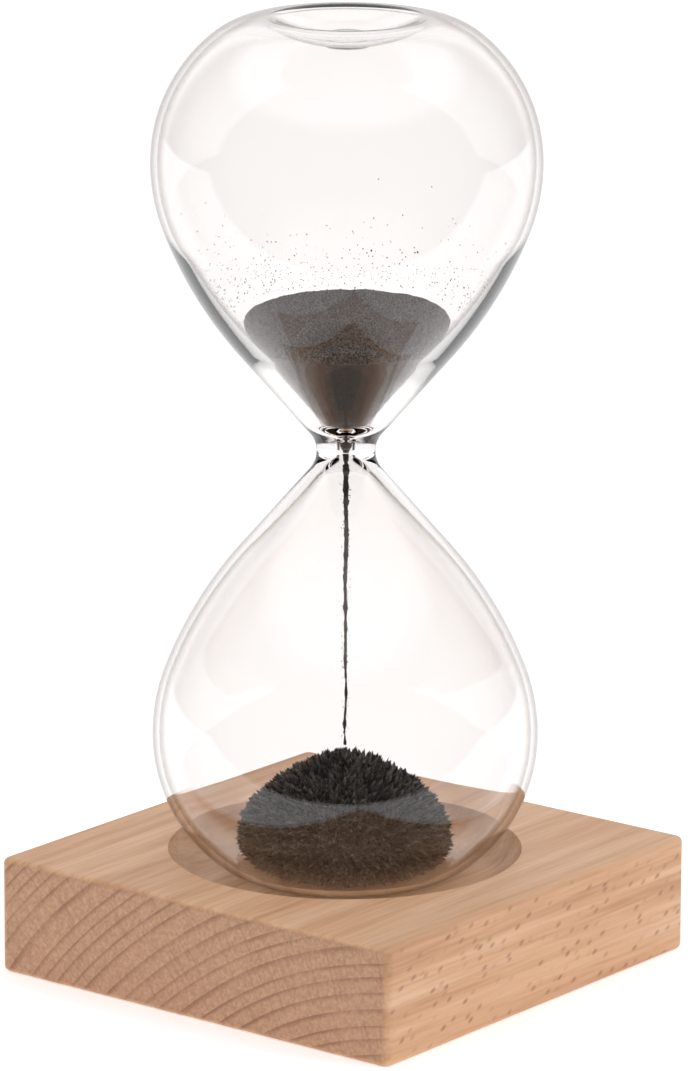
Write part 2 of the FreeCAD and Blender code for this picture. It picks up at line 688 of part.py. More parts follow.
document = FreeCAD.newDocument("magnetic_hourglass")
sheet = make_sheet(document)
parts = [
    make_wooden_base(document, sheet),
    make_magnet(document, sheet),
    make_disc(document, "magnet_adhesive", "Sizes.magnet_radius", "Sizes.adhesive_thickness",
              ADHESIVE_START),
    make_disc(document, "pocket_cover", "Sizes.magnet_radius + Sizes.magnet_gap - Sizes.cover_gap",
              "Sizes.cover_thickness", "0"),
    make_bulb(document, sheet, "lower_bulb", INVERTED, is_upper=False),
    make_bulb(document, sheet, "upper_bulb", UPRIGHT, is_upper=True),
    make_fill_seal(document, sheet),
    make_upper_powder(document, sheet),
    make_powder_stream(document, sheet),
    make_powder_mound(document, sheet),
]
document.recompute()
check(document, parts)
os.makedirs("parts", exist_ok=True)
for part in parts:
    part.Shape.exportStep(os.path.join("parts", part.Label + ".step"))
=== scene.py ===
# %% [markdown]
# # A magnetic desk hourglass
# A blown-glass hourglass stands in a dished recess of a square beech block. Instead of sand it
# holds black iron powder, and a magnet in the block makes the fallen powder stand up in spikes.
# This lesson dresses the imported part: it keeps the block as it is, and builds the glass and the
# powder again as fine meshes, because smooth glass and loose powder need more points than a
# tessellated part carries.

import math
import random

import bpy
from mathutils import Matrix, Vector
from mathutils.noise import noise


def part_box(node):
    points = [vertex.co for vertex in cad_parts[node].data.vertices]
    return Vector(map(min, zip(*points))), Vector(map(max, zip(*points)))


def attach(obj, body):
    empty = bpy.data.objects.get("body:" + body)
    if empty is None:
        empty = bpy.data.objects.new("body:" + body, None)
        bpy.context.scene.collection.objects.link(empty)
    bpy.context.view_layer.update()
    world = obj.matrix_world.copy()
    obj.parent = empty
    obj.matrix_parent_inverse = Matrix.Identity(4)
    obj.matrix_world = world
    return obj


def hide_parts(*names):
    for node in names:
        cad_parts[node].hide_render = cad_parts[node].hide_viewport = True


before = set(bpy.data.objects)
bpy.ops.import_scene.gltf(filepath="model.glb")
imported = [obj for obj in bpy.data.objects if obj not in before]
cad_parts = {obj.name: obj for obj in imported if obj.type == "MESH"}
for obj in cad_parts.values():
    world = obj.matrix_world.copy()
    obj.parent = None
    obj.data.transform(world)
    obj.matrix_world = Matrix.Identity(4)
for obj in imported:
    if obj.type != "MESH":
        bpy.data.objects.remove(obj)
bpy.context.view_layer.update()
MM = 0.001
chance = random.Random(41)

# %% [markdown]
# ## Sizes
# Heights and radii come from the loaded nodes. The glass outline is drawn again from the same few
# curves that a glassblower's profile gauge would carry: a tight round at the waist, a straight
# flank, and four round stretches down to the foot ring and the hollow punt.

# %% sizes from the frame
block_low, block_high = (Vector(corner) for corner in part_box("wooden_base"))
bulb_low, bulb_high = (Vector(corner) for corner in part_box("upper_bulb"))
mound_low, mound_high = (Vector(corner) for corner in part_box("powder_mound"))
heap_low, heap_high = (Vector(corner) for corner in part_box("upper_powder"))
thread_low, thread_high = (Vector(corner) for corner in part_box("powder_stream"))
BLOCK_SIDE = block_high.x - block_low.x
BLOCK_TOP = block_high.z
NECK_Z = bulb_low.z
BULB_HEIGHT = bulb_high.z - bulb_low.z
BELLY_RADIUS = bulb_high.x
WALL = 1.2 * MM
SEAL_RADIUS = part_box("fill_seal")[1][0]
print(f"block {BLOCK_SIDE / MM:.1f} mm, glass {2 * BULB_HEIGHT / MM:.1f} mm tall")

CURVES = {
    "neck_fillet": 5.0 * MM, "flank_angle": 41.0, "neck_radius": 5.1 * MM,
    "throat_fillet": 1.5 * MM, "funnel_angle": 43.0, "orifice_radius": 1.1 * MM,
    "throat_length": 4.2 * MM, "lip_round": 0.6 * MM, "lip_angle": 75.0,
    "bowl": 8 * MM, "bowl_funnel_angle": 43.5,
    "shoulder": 72.4 * MM, "belly": 32 * MM, "haunch": 27.7 * MM, "heel": 15 * MM,
    "ring_radius": 13.7 * MM, "ring_curve": 4 * MM, "punt_curve": 27 * MM,
    "belly_height": 50.2 * MM,
}

# %% [markdown]
# ## Materials
# A surface colour is easiest to judge as the hex value one sees on a screen, so one function turns
# it into the linear light values that the shader works in. A second one adds a node, sets it and
# wires it, so each material reads like a recipe.

# %% material helpers
def linear(hex_colour):
    """Screen colour such as "d8ae88" to linear red, green, blue, alpha."""
    channels = [int(hex_colour[i:i + 2], 16) / 255 for i in (0, 2, 4)]
    return [c / 12.92 if c <= 0.04045 else ((c + 0.055) / 1.055) ** 2.4 for c in channels] + [1.0]


def add(tree, kind, inputs=None, **settings):
    """A node with its settings; each input is a value or another node's output socket."""
    made = tree.nodes.new(kind)
    for name, value in settings.items():
        setattr(made, name, value)
    for name, value in (inputs or {}).items():
        socket = made.inputs[name]
        if isinstance(value, bpy.types.NodeSocket):
            tree.links.new(value, socket)
        else:
            socket.default_value = value
    return made


def ramp(tree, factor, stops):
    """A colour ramp over factor; stops are (position, hex colour)."""
    made = add(tree, "ShaderNodeValToRGB", {"Fac": factor})
    elements = made.color_ramp.elements
    while len(elements) < len(stops):
        elements.new(0.5)
    for element, (position, colour) in zip(elements, stops):
        element.position = position
        element.color = linear(colour)
    return made.outputs["Color"]


def math_node(tree, operation, first, second=0.0, clamp=False):
    made = add(tree, "ShaderNodeMath", {0: first, 1: second}, operation=operation, use_clamp=clamp)
    return made.outputs["Value"]


def map_range(tree, value, low, high, to_low=0.0, to_high=1.0, kind="LINEAR"):
    """Stretch value from low..high to to_low..to_high, and hold it there at both ends."""
    made = add(tree, "ShaderNodeMapRange", {
        "Value": value, "From Min": low, "From Max": high, "To Min": to_low, "To Max": to_high},
        interpolation_type=kind)
    return made.outputs["Result"]


def noise_over(tree, vector, scale=1.0, detail=2.0):
    """Grey noise from 0 to 1 over a vector."""
    made = add(tree, "ShaderNodeTexNoise", {"Vector": vector, "Scale": scale, "Detail": detail})
    return made.outputs["Fac"]


def mix_colour(tree, factor, first, second):
    made = add(tree, "ShaderNodeMix", data_type="RGBA")
    for name, value in (("Factor_Float", factor), ("A_Color", first), ("B_Color", second)):
        socket = next(s for s in made.inputs if s.identifier == name)
        if isinstance(value, bpy.types.NodeSocket):
            tree.links.new(value, socket)
        else:
            socket.default_value = value
    return next(s for s in made.outputs if s.identifier == "Result_Color")


def new_material(name, **surface):
    """A Principled surface; keywords are socket names with underscores for spaces."""
    material = bpy.data.materials.new(name)
    material.use_nodes = True
    tree = material.node_tree
    shader = tree.nodes["Principled BSDF"]
    for socket, value in surface.items():
        shader.inputs[socket.replace("_", " ")].default_value = value
    return material, tree, shader


def place(tree, scale=(1, 1, 1)):
    """Object coordinates in metres, scaled along each axis."""
    source = add(tree, "ShaderNodeTexCoord").outputs["Object"]
    return add(tree, "ShaderNodeMapping", {"Vector": source, "Scale": scale}).outputs["Vector"]


def bump(tree, shader, height, distance, strength=1.0):
    made = add(tree, "ShaderNodeBump", {"Height": height, "Distance": distance,
                                        "Strength": strength})
    tree.links.new(made.outputs["Normal"], shader.inputs["Normal"])


# %% [markdown]
# ### Beech
# Beech is a plain pale wood with three tell-tales. On the sawn end the year rings show as thin
# brown arcs, crossed by hair-fine rays that run out from the heart of the tree. On the long sides
# the same rays are cut across and show as short dark flecks. On top only faint streaks remain.
# The rings are circles around the tree's heart, which lay below and to the right of the block, so
# one distance gives arcs on the end and matching streaks on every other face.

# %% where the tree's heart lay
HEART_X = 59.5 * MM
HEART_Z = -77.0 * MM
RING_WIDTH = 2.6 * MM
RING_SWAY = 5 * MM
LEAN_YEARS = 3 * MM
LEAN_YEARS_LENGTH = 9 * MM


def growth(tree, here):
    """Distance from the heart, angle around it, and late wood from 0 to 1."""
    split = add(tree, "ShaderNodeSeparateXYZ", {"Vector": here})
    across = math_node(tree, "SUBTRACT", split.outputs["X"], HEART_X)
    rise = math_node(tree, "SUBTRACT", split.outputs["Z"], HEART_Z)
    from_heart = math_node(tree, "SQRT", math_node(
        tree, "ADD", math_node(tree, "MULTIPLY", across, across),
        math_node(tree, "MULTIPLY", rise, rise)))
    around = math_node(tree, "ARCTAN2", across, rise)

    # A tree isn't a compass drawing: the rings sway, and some years grow less than others.
    sway = noise_over(tree, place(tree, (16, 5, 16)), detail=1.0)
    lean = add(tree, "ShaderNodeTexNoise", {
        "W": math_node(tree, "DIVIDE", from_heart, LEAN_YEARS_LENGTH), "Scale": 1.0, "Detail": 1.0},
        noise_dimensions="1D").outputs["Fac"]
    swayed = math_node(tree, "ADD", from_heart, math_node(tree, "MULTIPLY", sway, RING_SWAY))
    swayed = math_node(tree, "ADD", swayed, math_node(tree, "MULTIPLY", lean, LEAN_YEARS))
    year = math_node(tree, "FRACT", math_node(tree, "DIVIDE", swayed, RING_WIDTH))

    # Late wood: a thin dark line at the end of each year, soft on one side and sharp on the other.
    late_wood = map_range(tree, year, 0.62, 0.97, kind="SMOOTHSTEP")
    uneven = noise_over(tree, place(tree, (110, 14, 110)), detail=3.0)
    uneven = map_range(tree, uneven, 0.35, 0.68, 0.45, 1.0)
    return from_heart, around, math_node(tree, "MULTIPLY", late_wood, uneven)


# %% [markdown]
# The rays cut across are short slanted flecks, about 2 mm by 0.6 mm. They are laid out flat on the
# side face, along the slant and across it, one in each cell of a scattered pattern, and some cells
# stay nearly empty.

# %% flecks on the long sides
FLECK_SLANT = math.radians(22.0)
FLECK_CELL = (3.4 * MM, 1.7 * MM)


def ray_flecks(tree, here):
    slant_along = (0, math.cos(FLECK_SLANT), math.sin(FLECK_SLANT))
    slant_aside = (0, -math.sin(FLECK_SLANT), math.cos(FLECK_SLANT))
    along, aside = (
        add(tree, "ShaderNodeVectorMath", {0: here, 1: way}, operation="DOT_PRODUCT").outputs["Value"]
        for way in (slant_along, slant_aside))
    space = add(tree, "ShaderNodeCombineXYZ", {
        "X": math_node(tree, "DIVIDE", along, FLECK_CELL[0]),
        "Y": math_node(tree, "DIVIDE", aside, FLECK_CELL[1])}).outputs["Vector"]
    cells = add(tree, "ShaderNodeTexVoronoi", {"Vector": space, "Scale": 1.0, "Randomness": 1.0},
                voronoi_dimensions="2D")
    shape = map_range(tree, cells.outputs["Distance"], 0.3, 0.1)
    chosen = add(tree, "ShaderNodeSeparateColor", {"Color": cells.outputs["Color"]})
    strength = map_range(tree, chosen.outputs["Red"], 0.45, 1.0, 0.0, 0.7)
    return math_node(tree, "MULTIPLY", shape, strength)


# %% [markdown]
# The long faces show streaks along the grain over fine fibre. The sawn end is darker, because
# cut-open pores swallow light, and carries the rings and the hair-fine rays.

# %% long grain and sawn end
def long_grain_colour(tree, late_wood, fibre):
    streak = noise_over(tree, place(tree, (260, 9, 260)), detail=4.0)
    colour = ramp(tree, streak, [(0.3, "b5825c"), (0.5, "d0a079"), (0.72, "dfb594")])
    colour = mix_colour(tree, math_node(tree, "MULTIPLY", late_wood, 0.3), colour, linear("b07f5c"))
    return mix_colour(tree, 0.25, colour, ramp(tree, fibre, [(0.35, "b3845f"), (0.6, "ddb694")]))


def end_grain_colour(tree, late_wood, from_heart, around):
    pores = noise_over(tree, place(tree, (1800, 1800, 1800)))
    colour = ramp(tree, pores, [(0.3, "ab8062"), (0.7, "c39878")])
    colour = mix_colour(tree, math_node(tree, "MULTIPLY", late_wood, 0.8), colour, linear("86593d"))
    space = add(tree, "ShaderNodeCombineXYZ", {
        "X": math_node(tree, "MULTIPLY", around, 230.0),
        "Y": math_node(tree, "MULTIPLY", from_heart, 90.0)}).outputs["Vector"]
    ray_line = map_range(tree, noise_over(tree, space), 0.54, 0.66)
    return mix_colour(tree, math_node(tree, "MULTIPLY", ray_line, 0.3), colour, linear("8a6346"))


# %% [markdown]
# The face's own direction decides which of the two patterns it carries: the grain runs along Y, so
# a face that looks along Y is a sawn end, and one that looks along X shows the flecks.

# %% beech
FIBRE_DEPTH = 0.06 * MM


def beech():
    material, tree, shader = new_material("sanded_beech_matt_lacquer", Roughness=0.5, IOR=1.5)
    here = add(tree, "ShaderNodeTexCoord").outputs["Object"]
    from_heart, around, late_wood = growth(tree, here)
    normal = add(tree, "ShaderNodeNewGeometry").outputs["True Normal"]
    facing = add(tree, "ShaderNodeSeparateXYZ", {"Vector": normal})
    end_face = math_node(tree, "POWER", math_node(tree, "ABSOLUTE", facing.outputs["Y"]), 6.0)
    side_face = math_node(tree, "POWER", math_node(tree, "ABSOLUTE", facing.outputs["X"]), 4.0)

    fibre = noise_over(tree, place(tree, (1500, 70, 1500)), detail=3.0)
    fleck = math_node(tree, "MULTIPLY", ray_flecks(tree, here), side_face)
    long_grain = long_grain_colour(tree, late_wood, fibre)
    long_grain = mix_colour(tree, fleck, long_grain, linear("8a5c3c"))
    end_grain = end_grain_colour(tree, late_wood, from_heart, around)
    colour = mix_colour(tree, end_face, long_grain, end_grain)
    tree.links.new(colour, shader.inputs["Base Color"])
    depth = math_node(tree, "SUBTRACT", fibre, math_node(tree, "MULTIPLY", fleck, 0.8))
    bump(tree, shader, depth, FIBRE_DEPTH, 0.6)
    return material


# %% [markdown]
# ### Glass
# Blown borosilicate has an IOR of about 1.47 and no colour to speak of. At the rim of a bulb the
# eye looks along the wall instead of through it, and there the glass shows as a thin grey line.
# The facing ramp paints that line into the glass colour: a little of it is the longer path through
# the wall, most of it is painted shade for the dark room that the rim bends and mirrors. It counts
# only where light enters the glass, so light that is trapped in the wall isn't darkened at each
# bounce.

# %% glass
def glass(name):
    material, tree, shader = new_material(name, Roughness=0.0, IOR=1.47, Transmission_Weight=1.0)
    facing = add(tree, "ShaderNodeLayerWeight", {"Blend": 0.5}).outputs["Facing"]
    leaving = add(tree, "ShaderNodeNewGeometry").outputs["Backfacing"]
    painted_rim_shade = math_node(tree, "MULTIPLY", facing, math_node(tree, "SUBTRACT", 1.0, leaving))
    # Painted shade: the colour goes near black where the wall is seen edge-on, for the dark rim line.
    tree.links.new(ramp(tree, painted_rim_shade, [(0.0, "fbf9f8"), (0.72, "f7f4f3"), (0.8, "b5aaa2"),
                                         (0.85, "6b5f56"), (0.92, "2e2622")]),
                   shader.inputs["Base Color"])
    return material


# %% [markdown]
# ### Iron powder
# Fine iron filings are near black with a dull metal glint where a flake catches the light. Every
# loose grain or spike gets its own tone, and a noise finer than a spike breaks gloss and colour.

# %% powder
def iron_powder(name, dark, light, grain):
    material, tree, shader = new_material(name, Roughness=0.55, Metallic=0.35)
    each = add(tree, "ShaderNodeNewGeometry").outputs["Random Per Island"]
    fine = noise_over(tree, place(tree), 1 / grain)
    mixed = math_node(tree, "ADD", math_node(tree, "MULTIPLY", fine, 0.5),
                      math_node(tree, "MULTIPLY", each, 0.5))
    tree.links.new(ramp(tree, mixed, [(0.3, dark), (0.75, light)]), shader.inputs["Base Color"])
    tree.links.new(map_range(tree, fine, 0.0, 1.0, 0.7, 0.4), shader.inputs["Roughness"])
    bump(tree, shader, fine, 0.1 * MM, 0.7)
    return material


# %% [markdown]
# ### Felt, magnet and glue
# Pressed felt is a mat of fibres with no direction. The magnet and its glue sit inside the block
# and show only in a cutaway, yet they get their own surfaces: ground ferrite and cured resin.

# %% other materials
def speckled(name, dark, light, grain, roughness, depth):
    material, tree, shader = new_material(name, Roughness=roughness)
    fine = noise_over(tree, place(tree), 1 / grain, 4.0)
    tree.links.new(ramp(tree, fine, [(0.35, dark), (0.65, light)]), shader.inputs["Base Color"])
    bump(tree, shader, fine, depth)
    return material


MATERIALS = {
    "beech": beech(),
    "clear_glass": glass("blown_borosilicate_glass"),
    "seal_glass": glass("flame_melted_borosilicate_glass"),
    "mound_powder": iron_powder("magnetised_iron_powder", "050505", "6e675f", 0.25 * MM),
    "heap_powder": iron_powder("loose_iron_powder", "151312", "5b5450", 0.22 * MM),
    "felt": speckled("pressed_charcoal_felt", "242527", "3a3b3e", 0.25 * MM, 0.95, 0.1 * MM),
    "magnet_ferrite": speckled("ground_sintered_ferrite", "1c1c1e", "2b2b2e", 0.3 * MM, 0.45,
                               0.02 * MM),
    "adhesive": speckled("cured_epoxy_adhesive", "cdbf9c", "d8cbaa", 2 * MM, 0.35, 0.02 * MM),
}


def dress(thing, material):
    thing.data.materials.clear()
    thing.data.materials.append(material)


for node, finish in (("wooden_base", "beech"), ("pocket_cover", "felt"),
                     ("magnet", "magnet_ferrite"), ("magnet_adhesive", "adhesive")):
    dress(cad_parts[node], MATERIALS[finish])
print(len(MATERIALS), "materials")

# %% [markdown]
# ## Glass
# Each bulb is a lathe form: one outline, turned around the axis. The inner and the outer skin are
# open at the waist, where the two bulbs meet, so light passes from one to the other as it does
# through glass that was blown in one piece. Normals are taken from the outline itself, not from
# the facets, because glass shows every kink.

# %% outline of a bulb
ARC_STEP = math.radians(2.0)


def arc_points(centre, radius, start, end):
    """Points along an arc, from angle start to angle end in degrees."""
    low, high = math.radians(start), math.radians(end)
    count = max(3, math.ceil(abs(high - low) / ARC_STEP), math.ceil(radius * abs(high - low) / MM))
    points = []
    for index in range(count + 1):
        angle = low + (high - low) * index / count
        points.append((centre[0] + radius * math.cos(angle), centre[1] + radius * math.sin(angle)))
    return points


def circles_meet(centre_a, radius_a, centre_b, radius_b, side):
    gap_x, gap_z = centre_b[0] - centre_a[0], centre_b[1] - centre_a[1]
    gap = math.hypot(gap_x, gap_z)
    along = (radius_a ** 2 - radius_b ** 2 + gap ** 2) / (2 * gap)
    out = math.sqrt(radius_a ** 2 - along ** 2)
    return (centre_a[0] + (along * gap_x - side * out * gap_z) / gap,
            centre_a[1] + (along * gap_z + side * out * gap_x) / gap)


def angle_of(centre, point):
    return math.degrees(math.atan2(point[1] - centre[1], point[0] - centre[0]))


def waist(mouth, fillet, flank):
    """A plain rounded waist, from the neck plane to the start of the flank."""
    return arc_points((mouth + fillet, 0), fillet, 180, 180 - flank)


def throat_and_bowl():
    """The upper hollow's straight throat, its lip and the rounded bowl above it."""
    c = CURVES
    lip = math.radians(c["lip_angle"])
    reach = c["lip_round"] + c["bowl"]
    mouth, top = c["orifice_radius"], c["throat_length"]
    centre = (mouth + c["lip_round"] - reach * math.cos(lip), top + reach * math.sin(lip))
    return ([(mouth, top * step / 6) for step in range(6)]
            + arc_points((mouth + c["lip_round"], top), c["lip_round"], 180, 180 - c["lip_angle"])
            + arc_points(centre, c["bowl"], -c["lip_angle"], -c["bowl_funnel_angle"])[1:])


def bulb_outline(skin, mouth_points, flank):
    """(radius, height above the neck) from the neck plane to the middle of the punt."""
    c = CURVES
    slope = math.radians(flank)
    start = mouth_points[-1]
    shoulder_r, belly_r = c["shoulder"] - skin, c["belly"] - skin
    haunch_r, heel_r = c["haunch"] - skin, c["heel"] - skin
    belly = (BELLY_RADIUS - c["belly"], c["belly_height"])
    heel = (c["ring_radius"], BULB_HEIGHT - c["heel"])
    haunch = circles_meet(belly, belly_r - haunch_r, heel, haunch_r - heel_r, -1)
    offset_x = start[0] - shoulder_r * math.cos(slope) - belly[0]
    offset_z = start[1] + shoulder_r * math.sin(slope) - belly[1]
    half = offset_x * math.sin(slope) + offset_z * math.cos(slope)
    rest = offset_x ** 2 + offset_z ** 2 - (shoulder_r - belly_r) ** 2
    run = -half - math.sqrt(half ** 2 - rest)
    shoulder = (belly[0] + offset_x + run * math.sin(slope),
                belly[1] + offset_z + run * math.cos(slope))
    to_belly = angle_of(shoulder, belly)
    to_haunch = angle_of(belly, haunch)
    to_heel = angle_of(haunch, heel)
    roll = math.degrees(math.asin(c["ring_radius"] / (c["ring_curve"] + c["punt_curve"])))
    drop = (c["ring_curve"] + c["punt_curve"]) * (1 - math.cos(math.radians(roll)))
    stretches = [
        arc_points(shoulder, shoulder_r, -flank, to_belly),
        arc_points(belly, belly_r, to_belly, to_haunch),
        arc_points(haunch, haunch_r, to_haunch, to_heel),
        arc_points(heel, heel_r, to_heel, 90),
        arc_points((c["ring_radius"], BULB_HEIGHT - c["ring_curve"]), c["ring_curve"] - skin,
                   90, 90 + roll),
        arc_points((0, BULB_HEIGHT - skin - drop + c["punt_curve"] + skin),
                   c["punt_curve"] + skin, roll - 90, -90),
    ]
    outline = list(mouth_points) + stretches[0]
    for stretch in stretches[1:]:
        outline += stretch[1:]
    return outline


OUTSIDE = bulb_outline(0, waist(CURVES["neck_radius"], CURVES["neck_fillet"],
                                CURVES["flank_angle"]), CURVES["flank_angle"])
LOWER_INSIDE = bulb_outline(WALL, waist(CURVES["orifice_radius"], CURVES["throat_fillet"],
                                        CURVES["funnel_angle"]), CURVES["funnel_angle"])
INSIDE = bulb_outline(WALL, throat_and_bowl(), CURVES["bowl_funnel_angle"])
print(len(OUTSIDE), "points outside,", len(INSIDE), "inside")


def radius_at(outline, height):
    """Radius of an outline at a height above the neck, below its widest foot ring."""
    for (r0, z0), (r1, z1) in zip(outline, outline[1:]):
        if z0 <= height <= z1:
            return r0 + (r1 - r0) * (height - z0) / max(z1 - z0, 1e-9)
    return 0.0


# %% [markdown]
# A lathe needs only the outline and a number of turns around. Skins can face outwards or inwards:
# the hollow's skin faces the hollow, so together they close the wall. A smooth shading normal is
# worked out along the outline, by the direction between its neighbours.

# %% lathe
TURNS = 160


def lathe(name, skins, material, base_z, upside_down=False):
    """Turn outlines around the axis; each skin is (outline, faces_outwards)."""
    vertices, faces, normals = [], [], []
    for outline, outwards in skins:
        first = len(vertices)
        for index, (radius, height) in enumerate(outline):
            before = outline[max(index - 1, 0)]
            after = outline[min(index + 1, len(outline) - 1)]
            tangent_r, tangent_z = after[0] - before[0], after[1] - before[1]
            if index == 0 and height == 0:
                tangent_r = 0.0
            length = math.hypot(tangent_r, tangent_z) or 1.0
            normal_r, normal_z = tangent_z / length, -tangent_r / length
            if radius < 1e-9:
                normal_r = 0.0
            for turn in range(TURNS):
                angle = 2 * math.pi * turn / TURNS
                vertices.append((radius * math.cos(angle), radius * math.sin(angle), height))
                sign = 1 if outwards else -1
                normals.append((sign * normal_r * math.cos(angle),
                                sign * normal_r * math.sin(angle), sign * normal_z))
        for ring in range(len(outline) - 1):
            for turn in range(TURNS):
                a = first + ring * TURNS + turn
                b = first + ring * TURNS + (turn + 1) % TURNS
                quad = (a, b, b + TURNS, a + TURNS)
                if outline[ring + 1][0] < 1e-9:
                    quad = (a, b, a + TURNS)
                if outline[ring][0] < 1e-9:
                    quad = (a, b + TURNS, a + TURNS)
                faces.append(quad if outwards else quad[::-1])
    flip = -1 if upside_down else 1
    vertices = [(x, y * flip, base_z + z * flip) for x, y, z in vertices]
    normals = [(x, y * flip, z * flip) for x, y, z in normals]
    mesh = bpy.data.meshes.new(name)
    mesh.from_pydata(vertices, [], faces)
    mesh.polygons.foreach_set("use_smooth", [True] * len(faces))
    mesh.update()
    mesh.normals_split_custom_set_from_vertices(normals)
    thing = bpy.data.objects.new(name, mesh)
    bpy.context.scene.collection.objects.link(thing)
    dress(thing, material)
    return thing


def cut_at(outline, radius):
    """The outline up to where the punt reaches a radius near the axis."""
    return [point for index, point in enumerate(outline)
            if not (index > len(outline) // 2 and point[0] < radius)]


# %% [markdown]
# On the real object both bulbs are blown from one tube, which is drawn in at the waist. The lower
# one is closed by its punt, while the upper one has a small hole in the punt for the powder.

# %% blow the bulbs
def through_light(thing):
    """Clear glass throws no shadow of its own here, so the powder inside is lit plainly."""
    thing.visible_shadow = False
    thing.visible_diffuse = False
    return thing


lower_glass = through_light(lathe("blown_lower_bulb", [(OUTSIDE, True), (LOWER_INSIDE, False)],
                                  MATERIALS["clear_glass"], NECK_Z, upside_down=True))
upper_out, upper_in = cut_at(OUTSIDE, SEAL_RADIUS), cut_at(INSIDE, SEAL_RADIUS)
upper_glass = through_light(lathe("blown_upper_bulb", [(upper_out, True), (upper_in, False)],
                                  MATERIALS["clear_glass"], NECK_Z))
for thing, node in ((lower_glass, "lower_bulb"), (upper_glass, "upper_bulb")):
    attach(thing, "glass")
    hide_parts(node)
print("bulbs", [len(thing.data.vertices) for thing in (lower_glass, upper_glass)])


# %% [markdown]
# The powder went in through a small hole in the top punt, which was then closed with a drop of
# molten glass. The drop keeps the slight swell that surface tension gave it, above and below.

# %% fill seal
def seal_skin(edge, swell):
    """From the hole's rim to the middle, rising by swell."""
    steps = 12
    return [(edge[0] * math.cos(math.pi / 2 * i / steps),
             edge[1] + swell * math.sin(math.pi / 2 * i / steps)) for i in range(steps)] + [
                 (0.0, edge[1] + swell)]


SEAL_SWELL = 0.7 * MM
seal = through_light(lathe("melted_fill_seal", [(seal_skin(upper_out[-1], SEAL_SWELL), True),
                                                (seal_skin(upper_in[-1], -SEAL_SWELL), False)],
                           MATERIALS["seal_glass"], NECK_Z))
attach(seal, "glass")
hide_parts("fill_seal")
print(f"seal {2 * SEAL_RADIUS / MM:.1f} mm across")


# %% [markdown]
# ## Iron powder
# ### Bristling mound
# Iron powder in a magnet's field lines up into little standing chains. The mound is a plain domed
# core, closely planted with thin pointed spikes that lean outwards along the field. Fibonacci's
# spiral spreads the roots evenly, and each spike gets its own length and lean.

# %% small mesh builders
def mesh_object(name, vertices, faces, material, smooth=False):
    mesh = bpy.data.meshes.new(name)
    mesh.from_pydata(vertices, [], faces)
    mesh.polygons.foreach_set("use_smooth", [smooth] * len(faces))
    mesh.update()
    thing = bpy.data.objects.new(name, mesh)
    bpy.context.scene.collection.objects.link(thing)
    dress(thing, material)
    return thing


def scatter(length=1.0):
    return Vector([chance.uniform(-1, 1) for _ in range(3)]) * length


def add_spike(vertices, faces, root, direction, length, width):
    """A slim four-sided spike; its root is sunk below the surface."""
    side = direction.orthogonal().normalized()
    other = direction.cross(side)
    first = len(vertices)
    spin = chance.uniform(0, math.pi)
    for corner in range(4):
        angle = spin + corner * math.pi / 2
        vertices.append(root + (side * math.cos(angle) + other * math.sin(angle)) * width / 2)
    middle = root + direction * length * 0.65 + scatter(0.07 * length)
    for corner in range(4):
        angle = spin + corner * math.pi / 2
        vertices.append(middle + (side * math.cos(angle) + other * math.sin(angle)) * width * 0.4)
    vertices.append(root + direction * length)
    for corner in range(4):
        after = (corner + 1) % 4
        faces.append((first + corner, first + after, first + 4 + after, first + 4 + corner))
        faces.append((first + 4 + corner, first + 4 + after, first + 8))
    faces.append((first + 3, first + 2, first + 1, first))


def add_grain(vertices, faces, centre, size):
    """An uneven eight-sided grain."""
    first = len(vertices)
    for axis in (Vector((1, 0, 0)), Vector((0, 1, 0)), Vector((0, 0, 1))):
        for sign in (1, -1):
            vertices.append(centre + axis * sign * size * chance.uniform(0.6, 1.2))
    for x in (0, 1):
        for y in (2, 3):
            for z in (4, 5):
                turn = (x + y + z) % 2
                face = (first + x, first + y, first + z)
                faces.append(face if turn == 0 else face[::-1])


# %% [markdown]
# The powder lies in the bowl between the heel of the bulb and its raised punt, so the mound's
# underside follows the glass at a hair's distance. It also clears the seal's swell, which comes
# under it when the glass is turned over.

# %% where the mound may be
MOUND_FLOOR = mound_low.z + 0.2 * MM
GLASS_GAP = 0.15 * MM
SPIKE_ROOM = 1.9 * MM
CORE_RADIUS = mound_high.x - SPIKE_ROOM
CORE_TOP = mound_high.z - SPIKE_ROOM
# The mound from top to floor: share of its height, share of its widest radius.
MOUND_SHAPE = [(1.0, 0.0), (0.97, 0.14), (0.9, 0.32), (0.8, 0.51), (0.68, 0.7), (0.55, 0.85),
               (0.4, 0.955), (0.25, 1.0), (0.12, 0.965), (0.0, 0.84)]


def bulb_floor(radius):
    """Height of the lower bulb's inner floor at a radius: heel, foot ring and raised punt."""
    for (r0, z0), (r1, z1) in zip(LOWER_INSIDE[::-1], LOWER_INSIDE[-2::-1]):
        if r0 <= radius <= r1:
            return NECK_Z - z0 - (z1 - z0) * (radius - r0) / max(r1 - r0, 1e-9)
    return MOUND_FLOOR


def above_glass(point):
    """The point, raised where it would dip into the bulb's floor or the turned-over seal."""
    radius = math.hypot(point.x, point.y)
    swell = SEAL_SWELL if radius < SEAL_RADIUS + 2 * MM else 0
    lowest = bulb_floor(radius) + GLASS_GAP + swell
    return Vector((point.x, point.y, max(point.z, lowest)))


def mound_point(angle, share):
    """A point of the core; share runs from 0 at the top to 1 at the floor, along the surface."""
    place_in = share * (len(MOUND_SHAPE) - 1)
    step = min(int(place_in), len(MOUND_SHAPE) - 2)
    part = place_in - step
    rise = MOUND_SHAPE[step][0] + (MOUND_SHAPE[step + 1][0] - MOUND_SHAPE[step][0]) * part
    reach = MOUND_SHAPE[step][1] + (MOUND_SHAPE[step + 1][1] - MOUND_SHAPE[step][1]) * part
    lump = 1 + 0.04 * noise(Vector((math.cos(angle) * 2, math.sin(angle) * 2, share * 4)))
    reach *= CORE_RADIUS * lump
    return above_glass(Vector((reach * math.cos(angle), reach * math.sin(angle),
                               MOUND_FLOOR + (CORE_TOP - MOUND_FLOOR) * rise)))


